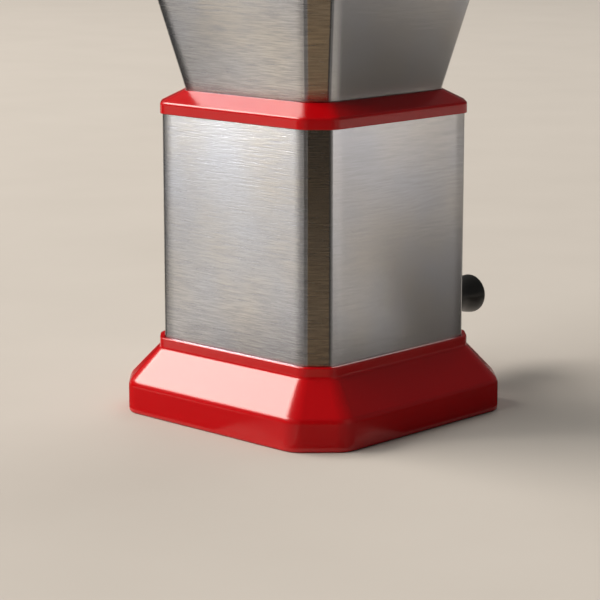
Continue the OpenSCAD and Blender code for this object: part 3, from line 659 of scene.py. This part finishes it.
# strip bent outwards from the shaft's end to the grip's spindle, with round ends
def makeArm():
    look = armLook
    low, high = span("crank_arm")
    half, outward = high.y, look["thick"] / 2
    near, far = low.x + outward, high.x - outward
    path = roundPath([Vector((far, low.z)), Vector((far, look["joggleLow"])),
                      Vector((near, look["joggleTop"])), Vector((near, high.z))], look["bend"])
    steps = look["endSteps"]
    rounding = [1 - math.cos(math.pi / 2 * i / steps) for i in range(1, steps + 1)]
    lowEnd = [path[0] + Vector((0, half * r)) for r in rounding]
    highEnd = [path[-1] - Vector((0, half * r)) for r in reversed(rounding)]
    stations = lowEnd + path[1:-1] + highEnd
    verts, faces = [], []
    for i, here in enumerate(stations):
        ahead, behind = stations[min(i + 1, len(stations) - 1)], stations[max(i - 1, 0)]
        run = (ahead - behind).normalized()
        side = Vector((run.y, -run.x)) * outward
        fromEnd = min(here.y - low.z, high.z - here.y, half)
        wide = math.sqrt(half ** 2 - (half - fromEnd) ** 2)
        for y, s in ((-wide, -1), (wide, -1), (wide, 1), (-wide, 1)):
            verts.append((here.x + side.x * s, y, here.y + side.y * s))
    for i in range(len(stations) - 1):
        for a in range(4):
            b = (a + 1) % 4
            faces.append((i * 4 + 4 + a, i * 4 + 4 + b, i * 4 + b, i * 4 + a))
    faces += [(0, 1, 2, 3), tuple(reversed(range(len(verts) - 4, len(verts))))]
    arm = newPiece("bentArm", verts, faces)
    rounded = arm.modifiers.new("brokenEdges", "BEVEL")
    rounded.width = look["edge"] * mm
    rounded.segments = 3
    rounded.angle_limit = math.radians(50)
    settleMesh(arm)
    fitPiece(arm, "crank", "bright_steel", "crank_arm")


makeTray()
makeSleeve()
makeHopper()
makeCollar()
makeRim()
makeLid()
makeLidKnob()
makeGrip()
makeArm()

# small moulded and turned parts keep their CAD shape, with their edges broken by this many millimetres
edgeBreaks = {0.15: ("hopper_screws", "fixed_blade_screws", "bar_screws", "blade_screws", "lid_screw"),
              0.2: ("arm_washer", "thrust_washers", "knob_spindle"),
              0.25: ("arm_nut", "knob_cap"),
              0.3: ("knob_nut", "crank_spacer", "cutter_drum"),
              0.4: ("bush_right", "bush_left", "feed_chute", "cheek_left", "cheek_right", "front_guard",
                    "back_guard", "blade_bar")}


def breakEdges(node, width):
    joined = node.modifiers.new("joinedSeams", "WELD")
    joined.merge_threshold = sameSpot
    rounded = node.modifiers.new("brokenEdges", "BEVEL")
    rounded.width = width * mm
    rounded.segments = 2
    rounded.angle_limit = math.radians(40)
    rounded.harden_normals = True
    rejoined = node.modifiers.new("joinedCorners", "WELD")
    rejoined.merge_threshold = sameSpot


for width, names in edgeBreaks.items():
    for name in names:
        breakEdges(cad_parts[name], width)
print("edges broken on", sum(len(names) for names in edgeBreaks.values()), "nodes")


# matt pale sheet that the slicer stands on
def paleFloor():
    look = {"pale": "#C2BEB7", "shade": "#BBB7B0", "mottle": 90, "radius": 3.2, "sides": 96, "below": 0.05}
    material, tree = newMaterial("matt pale studio paper")
    place = addNode(tree, "ShaderNodeTexCoord", {})
    mottle = addNode(tree, "ShaderNodeTexNoise", {"Scale": perMetre(look["mottle"]), "Detail": 3.0},
                     {"Vector": (place, "Object")})
    tint = addNode(tree, "ShaderNodeMix",
                   {"data_type": "RGBA", 6: toLinear(look["shade"]), 7: toLinear(look["pale"])},
                   {"Factor": (mottle, "Fac")})
    paper = addNode(tree, "ShaderNodeBsdfPrincipled", {"Roughness": 0.95, "Specular IOR Level": 0.1},
                    {"Base Color": (tint, 2)})
    closeMaterial(tree, paper)
    mesh = bpy.data.meshes.new("floor")
    turns = [math.tau * i / look["sides"] for i in range(look["sides"])]
    ring = [(look["radius"] * math.cos(a), look["radius"] * math.sin(a), -look["below"] * mm) for a in turns]
    mesh.from_pydata(ring, [], [tuple(range(look["sides"]))])
    mesh.materials.append(material)
    floor = bpy.data.objects.new("floor", mesh)
    scene.collection.objects.link(floor)


# a high window behind on the left, two soft fills that gloss doesn't mirror, and bounce panels for bare sheet
lampAim = Vector((0, 0, 0.09))
lampLook = {
    "windowPanel": {"at": (-2.1, 4.0, 3.8), "size": (4.6, 2.3), "power": 400, "colour": "#FFF5EC"},
    "doorPanel": {"at": (-3.6, 1.4, 2.9), "size": (3.0, 2.4), "power": 125, "colour": "#FFF9F3",
                  "mirrored": False},
    "crankPanel": {"at": (2.8, 0.8, 3.2), "size": (3.0, 2.4), "power": 52, "colour": "#FFFBF7",
                   "mirrored": False},
    "sidePanel": {"at": (0.62, -0.96, 0.40), "size": (0.75, 0.70), "power": 4.7, "colour": "#FFF6F0",
                  "only": ["bentSleeve"]},
    "leftPanel": {"at": (-0.46, 0.43, 0.25), "size": (0.14, 0.14), "power": 1.6, "colour": "#FFFFFF",
                  "only": ["bentSleeve", "foldedHopper"]},
    "backPanel": {"at": (0.85, 0.85, 0.40), "size": (0.60, 0.40), "power": 6.0, "colour": "#FFFBF7",
                  "only": ["bentSleeve", "foldedHopper"]},
}


def hangLamps():
    for name, look in lampLook.items():
        lamp = bpy.data.lights.new(name, "AREA")
        lamp.shape = "RECTANGLE"
        lamp.size, lamp.size_y = look["size"]
        lamp.energy = look["power"]
        lamp.color = toLinear(look["colour"])[:3]
        holder = bpy.data.objects.new(name, lamp)
        holder.location = look["at"]
        aim = lampAim - holder.location
        holder.rotation_euler = aim.to_track_quat("-Z", "Y").to_euler()
        holder.visible_camera = False
        holder.visible_glossy = look.get("mirrored", True)
        if "only" in look:
            lit = bpy.data.collections.new(name + "Lit")
            for piece in look["only"]:
                lit.objects.link(bpy.data.objects[piece])
            holder.light_linking.receiver_collection = lit
        scene.collection.objects.link(holder)


# Cards that show only in reflections, as the things in a room would: dark and grey ones keep the bevels dark
# and the red deep, white ones brighten the flats. The umber ones close to the foot are partly painted shade:
# they give the darker ground and the shade round the foot as reflections show them. The angle is off the
# camera's side.
# A card lies on the floor from near to far, a tall one turns up there, and a later one lies over the ones
# before.
cardColours = {"black": "#1E1B18", "umber": "#3A2C26", "slate": "#4A4844", "earth": "#4A4540",
               "grey": "#8A8885", "tan": "#9A8568", "chalk": "#F2EEE9", "white": "#F4EEE4"}
cardBuild = {"lowest": 1, "layer": 0.1, "edge": 3, "steps": 8}
cardLook = {
    "front": {"angle": 1, "spread": 9, "near": 0.16, "far": 0.42, "tall": 0.34, "colour": "black",
              "flap": "tan"},
    "left": {"angle": -41, "spread": 31, "near": 0.078, "far": 0.42, "tall": 0.30, "colour": "grey"},
    "backLeft": {"angle": -110, "spread": 13, "near": 0.078, "far": 0.42, "tall": 0.16, "colour": "black"},
    "backFar": {"angle": -157, "spread": 13, "near": 0.078, "far": 0.42, "tall": 0.16, "colour": "black"},
    "right": {"angle": 21, "spread": 11, "near": 0.078, "far": 0.42, "tall": 0.30, "colour": "slate"},
    "rightSide": {"angle": 46, "spread": 14, "near": 0.078, "far": 0.42, "tall": 0.30, "colour": "grey"},
    "backRight": {"angle": 158, "spread": 18, "near": 0.14, "far": 0.70, "tall": 0, "colour": "black"},
    # painted shade: the three umber sheets close to the foot stand for darker ground together with the shade
    # round the foot, and show only in reflections
    "leftMat": {"angle": -82, "spread": 42, "near": 0.05, "far": 0.15, "tall": 0, "colour": "umber"},
    "rightMat": {"angle": 76, "spread": 42, "near": 0.05, "far": 0.125, "tall": 0.015, "colour": "umber"},
    "frontMat": {"angle": 1, "spread": 9, "near": 0.05, "far": 0.16, "tall": 0, "colour": "umber"},
    "rightFloor": {"angle": 100, "spread": 14, "near": 0.105, "far": 0.50, "tall": 0, "colour": "earth"},
    "rightShine": {"angle": 92, "spread": 22, "near": 0.50, "far": 1.30, "tall": 0, "colour": "chalk"},
    "leftGlow": {"angle": -70, "spread": 6, "near": 0.16, "far": 0.28, "tall": 0, "colour": "white"},
    "bevelShine": {"angle": 79, "spread": 6, "near": 0.12, "far": 0.38, "tall": 0, "colour": "white"},
    "leftShine": {"angle": -82, "spread": 8, "near": 0.165, "far": 0.42, "tall": 0, "colour": "white"},
}


def standCards():
    front = math.atan2(backward.y, backward.x)
    steps = cardBuild["steps"]
    for layer, (name, look) in enumerate(cardLook.items()):
        low = Vector((0, 0, (cardBuild["lowest"] + layer * cardBuild["layer"]) * mm))
        top = Vector((0, 0, max(look["tall"], cardBuild["edge"] * mm)))
        mesh = bpy.data.meshes.new(name + "Card")
        for part, colour in (("flap", look.get("flap", look["colour"])), ("wall", look["colour"])):
            material, tree = newMaterial("matt studio card, " + name + " " + part)
            paint = addNode(tree, "ShaderNodeBsdfPrincipled",
                            {"Base Color": toLinear(cardColours[colour]), "Roughness": 0.95})
            closeMaterial(tree, paint)
            mesh.materials.append(material)
        verts, faces = [], []
        for i in range(steps + 1):
            a = front + math.radians(look["angle"] + look["spread"] * (2 * i / steps - 1))
            ray = Vector((math.cos(a), math.sin(a), 0))
            verts += [ray * look["near"] + low, ray * look["far"] + low, ray * look["far"] + top]
        for i in range(0, 3 * steps, 3):
            faces += [(i, i + 1, i + 4, i + 3), (i + 1, i + 2, i + 5, i + 4)]
        mesh.from_pydata(verts, [], faces)
        mesh.polygons.foreach_set("material_index", [0, 1] * steps)
        card = bpy.data.objects.new(name + "Card", mesh)
        card.visible_camera = card.visible_diffuse = card.visible_shadow = card.visible_transmission = False
        scene.collection.objects.link(card)


# even pale light from the room, and behind the floor's edge the camera meets a backdrop as pale as the floor
def paintWorld():
    look = {"room": "#F2F0EC", "light": 0.10, "backdrop": "#D6CCBF"}
    world = bpy.data.worlds.new("paleRoom")
    scene.world = world
    world.use_nodes = True
    tree = world.node_tree
    tree.nodes.clear()
    room = addNode(tree, "ShaderNodeBackground", {"Color": toLinear(look["room"]), "Strength": look["light"]})
    backdrop = addNode(tree, "ShaderNodeBackground", {"Color": toLinear(look["backdrop"])})
    path = addNode(tree, "ShaderNodeLightPath", {})
    seen = addNode(tree, "ShaderNodeMixShader", {},
                   {0: (path, "Is Camera Ray"), 1: (room, 0), 2: (backdrop, 0)})
    addNode(tree, "ShaderNodeOutputWorld", {}, {"Surface": (seen, 0)})


paleFloor()
hangLamps()
standCards()
paintWorld()
print("studio set")
